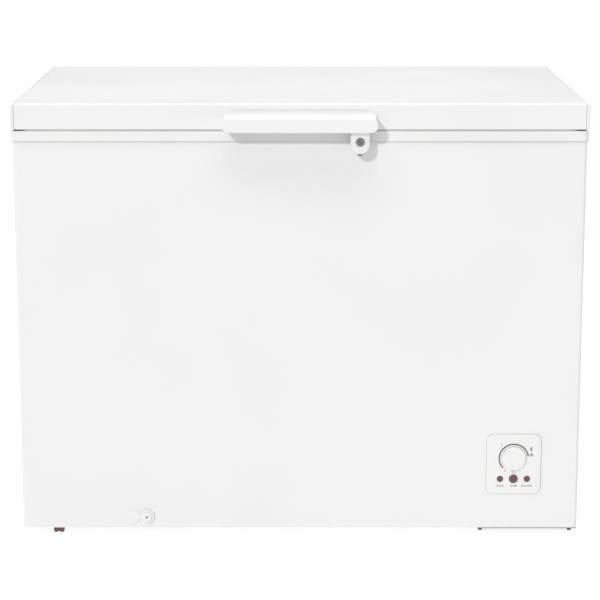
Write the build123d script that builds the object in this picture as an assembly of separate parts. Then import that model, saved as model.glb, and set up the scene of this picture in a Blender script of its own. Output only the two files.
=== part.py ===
from build123d import *
import os

# Chest freezer. Millimetres: +X to the right, -Y to the front, +Z up, floor at z = 0.
# The origin is under the middle of the whole object, handle and hinges included.

# ---------------------------------------------------------------- driving dimensions
# Overall
lid_width = 1104.0            # lid, over its two end caps
lid_depth = 712.0             # lid, front face to back face
height = 860.0                # floor to the top of the lid
foot_height = 17.0
lid_overhang = 3.5            # lid past the cabinet, all round
sheet = 0.8                   # steel sheet and liner sheet
corner_radius = 6.0           # upright front corners of the cabinet

# Lid
lid_skirt = 49.0              # height of the folded lid sheet
lid_edge_radius = 3.0
lid_gap = 3.2                 # lid sheet to collar, filled by the gasket
cap_thickness = 7.5
cap_clearance = 0.8           # end cap to the collar below it
cap_round = 2.0
hem_width = 12.0
panel_skin = 2.0              # formed plastic of the inner panel
plug_drop = 20.0              # plug below the collar's top
plug_gap = 8.0                # plug to the collar's inner skirt
plug_corner = 18.0
gasket_width = 15.0
gasket_clearance = 0.3

# Collar round the mouth
collar_height = 19.8
collar_plate = 2.5
collar_proud = 2.5            # outer skirt, outside the cabinet sheets
collar_lip = 2.0              # inner skirt, inside the liner
collar_lip_height = 33.0
ledge_width = 12.0            # shelf that carries the basket, front and back
ledge_thickness = 3.0

# Insulated body
wall = 75.0                   # cabinet face to liner face
liner_corner = 20.0
liner_edge = 12.0
compartment_width = 196.0     # machine space, at the right-hand end
compartment_height = 290.0    # its ceiling above the floor
step_wall = 52.0              # foam and liner between machine space and cavity
step_roof = 60.0

# Tubes in the walls
tube_radius = 4.0
tube_clearance = 0.2
coil_top_gap = 62.0           # collar top to the highest turn
coil_bottom_gap = 141.0       # machine space's ceiling to the lowest turn
coil_turns = 4
layer_step = 10.0             # riser behind the turns
coil_cross = (60.0, -20.0)    # where the riser's layer joins the turns' layer, along X
coil_slope = (100.0, 20.0)    # where each turn drops to the next, along X
riser_inset = 28.0            # riser and drop, from the machine space's side wall
drop_inset = 64.0
stub_length = 40.0            # tube ends below the machine space's ceiling

# Machine space
tray_thickness = 1.5
tray_flange = 16.0
tray_below = 4.0              # tray underside below the cabinet's edge
tray_end_gap = 6.5            # clear of the front sheet's bends
shell_side_gap = 24.0         # compressor shell to each side of the machine space
shell_lower = 74.0
shell_upper = 62.0
shell_dome = 30.0
shell_setback = 60.0          # middle of the compressor behind the origin
bracket_side_gap = 10.0       # bracket to each side of the machine space
bracket_y = 200.0
bracket_thickness = 3.0
grommet_radius = 9.0
grommet_height = 15.0
bolt_radius = 3.0
bolt_clearance = 0.3
drier_radius = 7.5
drier_shift = 4.0             # drier's axis, in front of the tube's
drier_length = 80.0
capillary_radius = 1.2

# Side grille and back cover
grille_depth = 420.0
grille_height = 170.0
grille_bottom = 60.0
grille_rim = 10.0
grille_proud = 1.5
slat_pitch = 16.0
slat_thickness = 4.0
cover_side_gap = 14.0         # cover's opening to each side of the machine space
cover_height = 230.0
cover_bottom = 40.0
cover_lap = 10.0
slot_width = 5.0
slot_gap = 8.0                # middle of the cover to its slots
slot_margin = 16.0            # slots to the sides of the opening
slot_rows = 8
gland_radius = 9.0
cord_hole_radius = 3.6

# Feet
foot_top = 24.0
foot_sole = 19.0
foot_groove = 5.0
foot_inset_x = 67.5           # foot's middle, from the cabinet's side
foot_inset_y = 32.0
stud_radius = 4.0
stud_inset_x = 9.0
stud_inset_y = 39.0

# Handle and lock
handle_width = 296.0
handle_out = 40.0
handle_face = 27.5            # height of its front face, which has full round ends
handle_bottom = 2.0           # below the lid sheet's lower edge
handle_top = 39.0             # root on the lid, above the sheet's lower edge
handle_end_inset = 4.0        # sloping top, inside the ends of the front face
handle_wall = 4.0
handle_edge = 1.8
boss_inset = 22.0
lock_x = 114.0
lock_width = 36.0
lock_drop = 41.5              # housing below the handle's underside
lock_front = 28.0             # its face, in front of the lid
lock_back = 16.0
lock_barrel_drop = 18.7       # barrel's axis below the handle's underside
barrel_radius = 8.5
barrel_core = 4.0
key_slot = 1.4
key_slot_turn = -45.0
running = 0.05
cam_thickness = 2.0
cam_width = 8.0
cam_reach = 28.0
cam_gap = 0.3
keeper_gap = 2.0

# Hinges
hinge_x = 380.0
hinge_axis_back = 14.0        # axis behind the lid's back face
hinge_axis_up = 4.0           # axis above the lid sheet's lower edge
knuckle_radius = 9.0
pin_radius = 4.0
ear_inner = 18.0
ear_thickness = 8.0
knuckle_side_gap = 1.0
hinge_plate_width = 64.0
hinge_plate_height = 96.0
hinge_plate = 2.5
arm_width = 50.0
arm_height = 36.0
arm_plate = 3.0
spring_clearance = 1.3        # spring to the pin inside it
spring_wire = 0.9
spring_turns = 9

# Controls
panel_inset = 69.3            # panel's middle, from the machine space's inner side
panel_z = 148.0
panel_width = 107.0
panel_height = 121.0
panel_corner = 13.0
panel_proud = 2.0
panel_tub = 12.0              # depth of the tub behind the front sheet
panel_lap = 4.0
knob_z = 160.0
knob_radius = 23.5
knob_height = 4.5
knob_face = 2.0               # knob in front of the shaft's end
knob_gap = 0.5
dimple_radius = 5.5           # finger dimple near the knob's edge
dimple_depth = 1.2
dimple_inset = 8.5
shaft_radius = 3.0
lamp_z = 118.0
lamp_pitch = 26.5
lamp_radius = 6.2
lamp_mid_radius = 8.7
lamp_proud = 1.0
thermostat_size = 44.0
thermostat_depth = 30.0
board_thickness = 1.6

# Drain
drain_x = -303.0
drain_z = 40.0
drain_floor_y = -170.0
drain_tube_radius = 8.0
drain_tube_wall = 1.5
drain_bend = 18.0
rosette_radius = 14.5
rosette_left_radius = 13.6
rosette_spacing = 27.5
rosette_proud = 4.0
spout_proud = 3.0
spout_length = 36.0
spout_bore = 2.2
plug_head_radius = 13.0
plug_head = 4.0
plug_stem = 14.0

# Basket
basket_length = 300.0
basket_height = 235.0
basket_side_gap = 8.0
wire = 1.6
rail_wire = 2.5
wire_bite = 0.5
mesh_pitch = 30.0
hanger_drop = 12.0

# Fastenings
screw_head = 4.0
screw_head_height = 2.2
screw_shank = 2.0
screw_length = 12.0

# ---------------------------------------------------------------- places worked out from them
lid_bottom = height - lid_skirt
collar_top = lid_bottom - lid_gap
cab_top = collar_top - collar_plate
cab_bottom = foot_height
cab_half = lid_width / 2 - lid_overhang
hinge_out = hinge_axis_back + knuckle_radius
front_y = handle_out - (lid_depth + handle_out + hinge_out) / 2
back_y = front_y + lid_depth
cab_front = front_y + lid_overhang
cab_back = back_y - lid_overhang

cav_half = cab_half - wall
cav_front = cab_front + wall
cav_back = cab_back - wall
cav_floor = cab_bottom + wall
foam_top = cab_top - sheet
mach_right = cab_half - sheet
mach_left = mach_right - compartment_width
mach_mid = (mach_left + mach_right) / 2
mach_top = compartment_height
step_x = mach_left - step_wall
step_top = mach_top + step_roof
panel_x = mach_left + panel_inset
bracket_x = compartment_width - 2 * bracket_side_gap
shell_radius = compartment_width / 2 - shell_side_gap
cover_width = compartment_width - 2 * cover_side_gap
slot_length = cover_width / 2 - slot_gap - slot_margin
coil_bend = liner_corner + sheet + tube_radius
coil_pitch = (collar_top - coil_top_gap - mach_top - coil_bottom_gap) / (coil_turns - 1)
spring_radius = pin_radius + spring_clearance + spring_wire

axis_y = back_y + hinge_axis_back
axis_z = lid_bottom + hinge_axis_up
mouth_half = cav_half - collar_lip
mouth_front = cav_front + collar_lip
mouth_back = cav_back - collar_lip
plug_half = mouth_half - plug_gap
plug_front = mouth_front + plug_gap
plug_back = mouth_back - plug_gap
plug_bottom = collar_top - plug_drop
ledge_top = collar_top - collar_lip_height + ledge_thickness
lid_half = lid_width / 2 - cap_thickness
cap_drop = lid_gap - cap_clearance
handle_low = lid_bottom - handle_bottom
lock_axis_z = handle_low - lock_barrel_drop
tray_low = cab_bottom - tray_below
tray_top = tray_low + tray_thickness
bracket_z = tray_top + grommet_height

UP = (Align.CENTER, Align.CENTER, Align.MIN)
arc_middle = 1 - 0.5 ** 0.5   # middle of a quarter circle, from each of its tangents


# ---------------------------------------------------------------- helpers
def block(x, y, z):
    """Box between two corners, given as ranges along X, Y and Z."""
    size = (x[1] - x[0], y[1] - y[0], z[1] - z[0])
    return Pos(sum(x) / 2, sum(y) / 2, sum(z) / 2) * Box(*size)


def rounded(x, y, z, radius):
    """Upright prism on a rectangle with round corners."""
    outline = RectangleRounded(x[1] - x[0], y[1] - y[0], radius)
    return Pos(sum(x) / 2, sum(y) / 2, z[0]) * extrude(outline, z[1] - z[0])


def rod(start, end, radius):
    """Round bar between two points."""
    along = Vector(*end) - Vector(*start)
    return Plane(origin=start, z_dir=along) * Cylinder(radius, along.length, align=UP)


def bent_tube(points, radius, bend):
    """Round bar along straight runs joined by arcs."""
    path = FilletPolyline(*points, radius=bend)
    first = Vector(*points[1]) - Vector(*points[0])
    return sweep(Plane(origin=points[0], z_dir=first) * Circle(radius), path=path)


def screw(at, direction, length=screw_length):
    """Pan-head screw: head outside the face at the given point, shank along the direction."""
    into = Vector(*direction)
    here = Vector(*at)
    head = rod(here - into * screw_head_height, here, screw_head)
    return head + rod(here, here + into * length, screw_shank)


def group(solids):
    """Several separate solids kept together as one piece."""
    return Compound(children=[s for part in solids for s in part.solids()])


def mirrored_x(part):
    return mirror(part, about=Plane.YZ)


def yz_face(points):
    """Flat outline in the plane across X, from (y, z) points."""
    return make_face(Polyline(*[(0, y, z) for y, z in points], close=True))


# ---------------------------------------------------------------- liner, foam and wall tubes
def cavity(grow):
    """Space inside the liner; grown by the sheet's thickness it is the liner's outside."""
    x = (-cav_half - grow, cav_half + grow)
    y = (cav_front - grow, cav_back + grow)
    space = rounded(x, y, (cav_floor - grow, cab_top), liner_corner + grow)
    space -= block((step_x + grow, x[1] + 1), (y[0] - 1, y[1] + 1), (0, step_top - grow))
    low_edges = space.edges().filter_by(lambda e: e.center().Z < cav_floor - grow + 0.01)
    return fillet(low_edges, liner_edge + grow)


def make_liner():
    flange = block((-mach_right, mach_right), (cab_front + sheet, cab_back - sheet), (foam_top, cab_top))
    drain_hole = rod((drain_x, drain_floor_y, 0), (drain_x, drain_floor_y, cav_floor + 1),
                     drain_tube_radius)
    return cavity(sheet) + (flange - front_corner_trim()) - cavity(0) - drain_hole


def coil_levels():
    top = collar_top - coil_top_gap
    return [top - coil_pitch * i for i in range(coil_turns)]


def coil_path(half_x, near_y, far_y, second_y):
    """Riser, then turn after turn from the top down, then the drop; far_y is the back run."""
    levels = coil_levels()
    riser_x, drop_x = mach_right - riser_inset - wall, mach_right - drop_inset - wall
    end_z = mach_top - stub_length
    points = [(riser_x, second_y, end_z), (riser_x, second_y, levels[0]),
              (coil_cross[0], second_y, levels[0]), (coil_cross[1], far_y, levels[0])]
    for z in levels:
        points += [(-half_x, far_y, z), (-half_x, near_y, z), (half_x, near_y, z), (half_x, far_y, z)]
        if z != levels[-1]:
            points += [(coil_slope[0], far_y, z), (coil_slope[1], far_y, z - coil_pitch)]
    points += [(drop_x, far_y, levels[-1]), (drop_x, far_y, end_z)]
    return points


def coil_numbers():
    """Half width, front line, back line and second layer of each coil."""
    hug_liner = sheet + tube_radius
    evaporator = (cav_half + hug_liner, cav_front - hug_liner, cav_back + hug_liner,
                  cav_back + hug_liner + layer_step)
    condenser = (mach_right - tube_radius, cab_front + hug_liner, cab_back - hug_liner,
                 cab_back - hug_liner - layer_step)
    return evaporator, condenser


def make_coil(numbers):
    return bent_tube(coil_path(*numbers), tube_radius, coil_bend)


def coil_channels(numbers, inner):
    """Room in the foam for one coil: a groove for each turn, and shafts at the back."""
    half_x, near_y, far_y, second_y = numbers
    room = tube_radius + tube_clearance
    levels = coil_levels()
    cuts = []
    for z in levels:
        span = (z - room, z + room)
        if inner:
            cuts.append(rounded((-half_x - room, half_x + room), (near_y - room, far_y + room),
                                span, coil_bend + room))
        else:
            slab = block((-cab_half, cab_half), (cab_front, cab_back), span)
            core = rounded((-half_x + room, half_x - room), (near_y + room, far_y - room),
                           (z - 2 * room, z + 2 * room), coil_bend - room)
            cuts.append(slab - core)
    across = (min(far_y, second_y) - room, max(far_y, second_y) + room)
    single = (far_y - room, far_y + room)
    riser_x, drop_x = coil_path(*numbers)[0][0], coil_path(*numbers)[-1][0]
    slope = (coil_slope[1] - 2 * room, coil_slope[0] + 2 * room)
    cuts.append(block(slope, single, (levels[-1] - room, levels[0] + room)))
    cuts.append(block((coil_cross[1] - 2 * room, riser_x + room), across,
                      (levels[0] - room, levels[0] + room)))
    turn = coil_bend + room
    cuts.append(block((riser_x - room, riser_x + room), across, (mach_top - 1, levels[0] + room)))
    cuts.append(block((riser_x - turn, riser_x + room), across, (levels[0] - turn, levels[0] + room)))
    cuts.append(block((drop_x - room, drop_x + room), single, (mach_top - 1, levels[-1] + room)))
    cuts.append(block((drop_x - room, drop_x + turn), single, (levels[-1] - turn, levels[-1] + room)))
    return cuts


def make_foam():
    body = block((-mach_right, mach_right), (cab_front + sheet, cab_back - sheet),
                 (cab_bottom + sheet, foam_top))
    body = body - front_corner_trim()
    cuts = [cavity(sheet), machine_space(), drain_tube_outside(), thermostat_pocket()]
    evaporator, condenser = coil_numbers()
    cuts += coil_channels(evaporator, True) + coil_channels(condenser, False)
    cuts += list(make_hinge_base_screws().solids())
    return body - cuts


def front_corner_trim():
    """Takes the foam back to the bend of the front sheet."""
    inner = corner_radius - sheet
    x, y = mach_right, cab_front + sheet
    square = block((x - inner, x + 1), (y - 1, y + inner), (0, height))
    square -= Pos(x - inner, y + inner, height / 2) * Cylinder(inner, height + 2)
    return [square, mirrored_x(square)]


def machine_space():
    return block((mach_left, mach_right + 1), (cab_front, cab_back), (0, mach_top))


# ---------------------------------------------------------------- outer sheets
def make_front_panel():
    """Front sheet with its two upright bends."""
    lap = corner_radius + 2
    outer = rounded((-cab_half, cab_half), (cab_front, cab_front + 200), (cab_bottom, cab_top),
                    corner_radius)
    inner = rounded((-cab_half + sheet, cab_half - sheet), (cab_front + sheet, cab_front + 190),
                    (0, height), corner_radius - sheet)
    keep = block((-cab_half - 1, cab_half + 1), (cab_front - 1, cab_front + lap), (0, height))
    skin = (outer - inner) & keep
    window = rounded_xz(panel_x, panel_z, panel_width - 2 * panel_lap, panel_height - 2 * panel_lap,
                        panel_corner - panel_lap, cab_front - 1, cab_front + 5)
    outlet = rod((drain_x, cab_front - 1, drain_z), (drain_x, cab_front + 5, drain_z), drain_tube_radius)
    return skin - window - outlet


def rounded_xz(x, z, width, tall, radius, y_from, y_to):
    """Prism along Y on an upright rectangle with round corners."""
    face = Plane(origin=(x, y_from, z), x_dir=(1, 0, 0), z_dir=(0, 1, 0)) * RectangleRounded(
        width, tall, radius)
    return extrude(face, y_to - y_from)


def make_side_panel(with_grille):
    y = (cab_front + corner_radius + 2, cab_back)
    panel = block((cab_half - sheet, cab_half), y, (cab_bottom, cab_top))
    if with_grille:
        panel -= grille_opening(0)
        return panel
    return mirrored_x(panel)


def grille_opening(grow):
    y = (-grille_depth / 2 - grow, grille_depth / 2 + grow)
    z = (grille_bottom - grow, grille_bottom + grille_height + grow)
    return block((cab_half - 20, cab_half + 20), y, z)


def make_rear_panel():
    panel = block((-mach_right, mach_right), (cab_back - sheet, cab_back), (cab_bottom, cab_top))
    opening = block((mach_mid - cover_width / 2, mach_mid + cover_width / 2),
                    (cab_back - 5, cab_back + 5), (cover_bottom, cover_bottom + cover_height))
    return panel - opening - list(make_hinge_base_screws().solids()) - list(make_cover_screws().solids())


def make_bottom_panel():
    panel = block((-mach_right, mach_left), (cab_front + sheet, cab_back - sheet),
                  (cab_bottom, cab_bottom + sheet))
    return panel - front_corner_trim()


def make_collar():
    """Plastic frame that joins liner and sheets and carries the basket on two ledges."""
    out = collar_proud
    x, y = (-cab_half - out, cab_half + out), (cab_front - out, cab_back + out)
    ring = rounded(x, y, (collar_top - collar_height, collar_top), corner_radius + out)
    ring -= rounded((-cab_half, cab_half), (cab_front, cab_back), (0, cab_top), corner_radius)
    ring -= block((-cab_half, cab_half), (0, cab_back), (0, cab_top))
    lip = rounded((-cav_half, cav_half), (cav_front, cav_back),
                  (collar_top - collar_lip_height, collar_top), liner_corner)
    mouth = rounded((-mouth_half, mouth_half), (mouth_front, mouth_back), (0, height),
                    liner_corner - collar_lip)
    ledges = [block((-mouth_half + liner_corner, mouth_half - liner_corner), span,
                    (ledge_top - ledge_thickness, ledge_top))
              for span in ((mouth_front - 1, mouth_front + ledge_width),
                           (mouth_back - ledge_width, mouth_back + 1))]
    rim = fillet(ring.edges().group_by(Axis.Z)[-1].filter_by(lambda e: on_outline(e, x, y)), 1.5)
    return rim + lip - mouth + ledges


def on_outline(edge, x, y):
    """True for an edge of the collar's outside."""
    middle = edge @ 0.5
    return abs(middle.X) > x[1] - corner_radius - 4 or middle.Y < y[0] + 4 or middle.Y > y[1] - 4


def make_keeper():
    """Small angle on the collar that the lock's cam turns under."""
    low = lock_axis_z + cam_width / 2 + keeper_gap
    x = (lock_x - lock_width / 2 + 2, lock_x - barrel_core - 2)
    face = cab_front - collar_proud
    cam_front = front_y - lock_back + cam_gap
    shelf = block(x, (cam_front, face), (low, low + 2))
    return shelf + block(x, (face - 2, face), (low - 6, low + 2))


# ---------------------------------------------------------------- machine space
def make_tray():
    x, y = (mach_left, mach_right), (cab_front + tray_end_gap, cab_back - tray_end_gap)
    t = tray_thickness
    pan = block(x, y, (tray_low, tray_low + tray_flange))
    pan -= block((x[0] + t, x[1] - t), (y[0] + t, y[1] - t), (tray_top, height))
    return pan - list(make_compressor_bolts().solids()) - [
        rod((px, py, 0), (px, py, tray_top + 1), stud_radius - 2) for px, py in stud_places()]


def stud_places():
    x = (mach_left + stud_inset_x, mach_right - stud_inset_x)
    y = (cab_front + stud_inset_y, cab_back - stud_inset_y)
    return [(px, py) for px in x for py in y]


def make_tray_studs():
    """Four short screw feet under the tray's corners."""
    return group([rod((px, py, 0), (px, py, tray_low), stud_radius)
                  + rod((px, py, tray_low), (px, py, tray_top + 3), stud_radius - 2)
                  for px, py in stud_places()])


def bolt_places():
    dx, dy = bracket_x / 2 - 12, bracket_y / 2 - 12
    return [(mach_mid + sx * dx, shell_setback + sy * dy) for sx in (-1, 1) for sy in (-1, 1)]


def make_bracket():
    plate = Pos(mach_mid, shell_setback, bracket_z) * extrude(
        RectangleRounded(bracket_x, bracket_y, 14), bracket_thickness)
    return plate - [rod((x, y, 0), (x, y, height), bolt_radius + bolt_clearance)
                    for x, y in bolt_places()]


def make_grommets():
    return group([rod((x, y, tray_top), (x, y, bracket_z), grommet_radius)
                  - rod((x, y, 0), (x, y, height), bolt_radius + bolt_clearance)
                  for x, y in bolt_places()])


def make_compressor_bolts():
    top = bracket_z + bracket_thickness
    return group([rod((x, y, tray_low), (x, y, top), bolt_radius)
                  + rod((x, y, top), (x, y, top + 4), bolt_radius + 3) for x, y in bolt_places()])


def shell_levels():
    base = bracket_z + bracket_thickness
    return base, base + shell_lower, base + shell_lower + shell_upper


def make_shell_lower():
    base, seam, _ = shell_levels()
    cup = Pos(mach_mid, shell_setback, base) * Cylinder(shell_radius, seam - base, align=UP)
    cup = fillet(cup.edges().group_by(Axis.Z)[0], 18)
    lip = Pos(mach_mid, shell_setback, seam - 6) * Cylinder(shell_radius + 3, 6, align=UP)
    return cup + lip


def make_shell_upper():
    _, seam, top = shell_levels()
    dome = Pos(mach_mid, shell_setback, seam) * Cylinder(shell_radius, top - seam, align=UP)
    return fillet(dome.edges().group_by(Axis.Z)[-1], shell_dome)


def make_relay_cover():
    """Terminal and start-relay cover on the front of the compressor."""
    base, seam, _ = shell_levels()
    y = (shell_setback - shell_radius - 34, shell_setback - shell_radius + 20)
    box = block((mach_mid - 32, mach_mid + 32), y, (base + 14, seam - 8))
    box = fillet(box.edges().group_by(Axis.Y)[0], 4)
    return box - make_shell_lower()


def pipe_ends():
    """Lower ends of the wall tubes: riser and drop of each coil."""
    evaporator, condenser = (coil_path(*n) for n in coil_numbers())
    return evaporator[0], evaporator[-1], condenser[0], condenser[-1]


def make_suction_pipe():
    _, end, _, _ = pipe_ends()
    low = shell_levels()[1] - 30
    x = mach_mid - 40
    points = [end, (end[0], end[1], low + 40), (x, end[1] - 60, low), (x, shell_setback + 40, low)]
    return bent_tube(points, tube_radius, 14) - make_shell_lower()


def make_discharge_pipe():
    _, _, end, _ = pipe_ends()
    low = shell_levels()[1] - 44
    x = mach_mid + 34
    points = [end, (end[0], end[1], low + 40), (x, end[1] - 70, low), (x, shell_setback + 40, low)]
    return bent_tube(points, tube_radius - 1, 14) - make_shell_lower()


def make_drier():
    _, _, _, end = pipe_ends()
    top = end[2]
    y = end[1] - drier_shift
    body = rod((end[0], y, top - drier_length), (end[0], y, top - 8), drier_radius)
    ends = body.edges().filter_by(GeomType.CIRCLE)
    return fillet(ends, 4) + rod((end[0], end[1], top - 14), end, tube_radius)


def make_capillary():
    start, _, _, drier = pipe_ends()
    low = drier[2] - drier_length
    y = drier[1] - drier_shift
    points = [(drier[0], y, low), (drier[0], y, low - 40),
              (drier[0] + 12, y - 46, low - 60), (start[0], start[1], low - 20), start]
    return bent_tube(points, capillary_radius, 12)


# ---------------------------------------------------------------- grille, back cover, feet
def make_grille():
    y, z = (-grille_depth / 2, grille_depth / 2), (grille_bottom, grille_bottom + grille_height)
    lap = 4
    flange = block((cab_half, cab_half + grille_proud), (y[0] - lap, y[1] + lap), (z[0] - lap, z[1] + lap))
    collar = block((cab_half - 10, cab_half), y, z)
    hole = block((0, lid_width), (y[0] + grille_rim, y[1] - grille_rim),
                 (z[0] + grille_rim, z[1] - grille_rim))
    frame = flange + collar - hole
    count = int((grille_height - 2 * grille_rim) / slat_pitch)
    first = (z[0] + z[1]) / 2 - slat_pitch * (count - 1) / 2
    slats = [Pos(cab_half - 4, 0, first + slat_pitch * i) * Rot(0, 35, 0)
             * Box(12, grille_depth - grille_rim, slat_thickness) for i in range(count)]
    return frame + slats


def cover_span():
    return ((mach_mid - cover_width / 2 - cover_lap, mach_mid + cover_width / 2 + cover_lap),
            (cover_bottom - cover_lap, cover_bottom + cover_height + cover_lap))


def gland_place():
    return mach_mid + cover_width / 2 - 24, cover_bottom + 26


def make_rear_cover():
    x, z = cover_span()
    plate = block(x, (cab_back, cab_back + sheet), z)
    first = cover_bottom + cover_height / 2 + 20 - slot_rows * 9
    slots = [rounded_xz(mach_mid + side * (slot_length / 2 + slot_gap), first + 18 * i, slot_length,
                        slot_width, slot_width / 2 - 0.1, cab_back - 1, cab_back + 3)
             for i in range(slot_rows) for side in (-1, 1)]
    gx, gz = gland_place()
    hole = rod((gx, cab_back - 1, gz), (gx, cab_back + 3, gz), gland_radius - 2)
    return plate - slots - hole - list(make_cover_screws().solids())


def make_cover_screws():
    x, z = cover_span()
    inset = cover_lap / 2
    return group([screw((px, cab_back + sheet, pz), (0, -1, 0), 8)
                  for px in (x[0] + inset, x[1] - inset) for pz in (z[0] + inset, z[1] - inset)])


def make_gland():
    """Grommet that the supply cord would pass through."""
    gx, gz = gland_place()
    inside = rod((gx, cab_back - 4, gz), (gx, cab_back, gz), gland_radius)
    neck = rod((gx, cab_back, gz), (gx, cab_back + sheet, gz), gland_radius - 2)
    outside = rod((gx, cab_back + sheet, gz), (gx, cab_back + 5, gz), gland_radius)
    bore = rod((gx, cab_back - 9, gz), (gx, cab_back + 9, gz), cord_hole_radius)
    return inside + neck + outside - bore


def make_feet():
    """Two moulded feet at the left-hand end, each with a groove across its sole."""
    x = -cab_half + foot_inset_x
    feet = []
    for y in (cab_front + foot_inset_y, cab_back - foot_inset_y):
        sole = Pos(x, y, 0) * RectangleRounded(foot_sole, foot_sole, 3)
        top = Pos(x, y, foot_height) * RectangleRounded(foot_top, foot_top, 3)
        groove = block((x - foot_groove / 2, x + foot_groove / 2), (y - 20, y + 20), (-1, 2))
        feet.append(loft([sole, top]) - groove)
    return group(feet)


# ---------------------------------------------------------------- controls
def make_control_panel():
    face = rounded_xz(panel_x, panel_z, panel_width, panel_height, panel_corner,
                      cab_front - panel_proud, cab_front)
    face = fillet(face.edges().group_by(Axis.Y)[0], 1.2)
    grow = -2 * panel_lap - 0.4
    tub = rounded_xz(panel_x, panel_z, panel_width + grow, panel_height + grow,
                     panel_corner - panel_lap, cab_front, cab_front + panel_tub)
    hollow = rounded_xz(panel_x, panel_z, panel_width + grow - 4, panel_height + grow - 4,
                        panel_corner - panel_lap - 2, cab_front, cab_front + panel_tub + 1)
    body = face + (tub - hollow)
    shaft_hole = rod((panel_x, cab_front - 9, knob_z), (panel_x, cab_front + 9, knob_z),
                     shaft_radius + 1.5)
    return body - shaft_hole - lamp_shapes(0)


def lamp_shapes(proud):
    """The three lenses, as plain round bars through the face."""
    sizes = ((-lamp_pitch, lamp_radius), (0, lamp_mid_radius), (lamp_pitch, lamp_radius))
    return [rod((panel_x + dx, cab_front - panel_proud - proud, lamp_z),
                (panel_x + dx, cab_front + 2, lamp_z), r) for dx, r in sizes]


def make_lenses():
    lenses = []
    for lens in lamp_shapes(lamp_proud):
        lenses.append(fillet(lens.edges().group_by(Axis.Y)[0], 0.8))
    return group(lenses)


def make_lamp_board():
    y = cab_front + 2
    board = block((panel_x - 42, panel_x + 42), (y, y + board_thickness), (lamp_z - 13, lamp_z + 13))
    return board


def make_thermostat():
    y = cab_front
    half = thermostat_size / 2
    case = block((panel_x - half, panel_x + half), (y + 6, y + 6 + thermostat_depth),
                 (knob_z - 15, knob_z + 24))
    case = fillet(case.edges().filter_by(Axis.Y), 3)
    bush = rod((panel_x, y, knob_z), (panel_x, y + 6, knob_z), shaft_radius + 4)
    bore = rod((panel_x, y - 1, knob_z), (panel_x, y + 18, knob_z), shaft_radius + running)
    return case + bush - bore


def thermostat_route():
    """Sensing tube: thermostat, up through the ceiling, along the evaporator."""
    y = cab_front + 6 + thermostat_depth
    z = mach_top + step_roof / 2
    return [(panel_x, y, knob_z + 12), (panel_x, y + 24, knob_z + 12), (panel_x, y + 24, z),
            (panel_x, cav_front + 60, z)]


def thermostat_pocket():
    points = thermostat_route()
    return bent_tube(points, capillary_radius + tube_clearance, 10)


def make_sensing_tube():
    return bent_tube(thermostat_route(), capillary_radius, 10)


def make_shaft():
    tip = cab_front - panel_proud - knob_gap - knob_height + knob_face
    return rod((panel_x, tip, knob_z), (panel_x, cab_front + 17, knob_z), shaft_radius)


def make_knob():
    """Low disc turned with a fingertip in its dimple, which points to OFF, straight down."""
    back = cab_front - panel_proud - knob_gap
    disc = rod((panel_x, back - knob_height, knob_z), (panel_x, back, knob_z), knob_radius)
    disc = fillet(disc.edges().group_by(Axis.Y)[0], 1.2)
    ball = (dimple_radius ** 2 + dimple_depth ** 2) / (2 * dimple_depth)
    dimple = Pos(panel_x, back - knob_height - ball + dimple_depth,
                 knob_z - knob_radius + dimple_inset) * Sphere(ball)
    return disc - dimple - make_shaft()


# ---------------------------------------------------------------- drain
def drain_tube_route():
    return [(drain_x, drain_floor_y, cav_floor), (drain_x, drain_floor_y, drain_z),
            (drain_x, cab_front + sheet, drain_z)]


def drain_tube_outside():
    return bent_tube(drain_tube_route(), drain_tube_radius, drain_bend)


def make_drain_tube():
    bore = bent_tube(drain_tube_route(), drain_tube_radius - drain_tube_wall, drain_bend)
    return drain_tube_outside() - bore


def make_rosette():
    """Outlet plate at the front: two joined discs, the right one round the spout."""
    front = cab_front - rosette_proud
    right = rod((drain_x, front, drain_z), (drain_x, cab_front, drain_z), rosette_radius)
    left_x = drain_x - rosette_spacing
    left = rod((left_x, front + 1, drain_z), (left_x, cab_front, drain_z), rosette_left_radius)
    left = fillet(left.edges().group_by(Axis.Y)[0], 1.0)
    right = fillet(right.edges().group_by(Axis.Y)[0], 1.2)
    neck = rod((drain_x, cab_front, drain_z), (drain_x, cab_front + sheet, drain_z), drain_tube_radius)
    bore = rod((drain_x, front - 1, drain_z), (drain_x, cab_front + 9, drain_z),
               drain_tube_radius - drain_tube_wall)
    return left + right + neck - bore


def make_spout():
    """Outlet that pulls out of the drain tube."""
    r = drain_tube_radius - drain_tube_wall - running
    front = cab_front - rosette_proud - spout_proud
    head = rod((drain_x, front, drain_z), (drain_x, cab_front - rosette_proud, drain_z), r + 3)
    head = fillet(head.edges().group_by(Axis.Y)[0], 1.0)
    body = rod((drain_x, cab_front - rosette_proud, drain_z), (drain_x, front + spout_length, drain_z), r)
    bore = rod((drain_x, front - 1, drain_z), (drain_x, front + spout_length + 1, drain_z), spout_bore)
    return head + body - bore


def make_drain_plug():
    r = drain_tube_radius - drain_tube_wall - running
    stem = rod((drain_x, drain_floor_y, cav_floor - plug_stem), (drain_x, drain_floor_y, cav_floor), r)
    head = rod((drain_x, drain_floor_y, cav_floor), (drain_x, drain_floor_y, cav_floor + plug_head),
               plug_head_radius)
    head = fillet(head.edges().group_by(Axis.Z)[-1], 1.5)
    tab = block((drain_x - 2, drain_x + 2), (drain_floor_y - 8, drain_floor_y + 8),
                (cav_floor + plug_head, cav_floor + plug_head + 9))
    return stem + head + fillet(tab.edges().group_by(Axis.Z)[-1], 1.5)


# ---------------------------------------------------------------- lid
def lid_form(inset, x, bottom):
    """Lid outline along X with its two long top edges rounded, inset all round."""
    y = (front_y + inset, back_y - inset)
    form = block(x, y, (bottom, height - inset))
    edges = form.edges().filter_by(Axis.X).group_by(Axis.Z)[-1]
    return fillet(edges, lid_edge_radius - inset)


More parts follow.
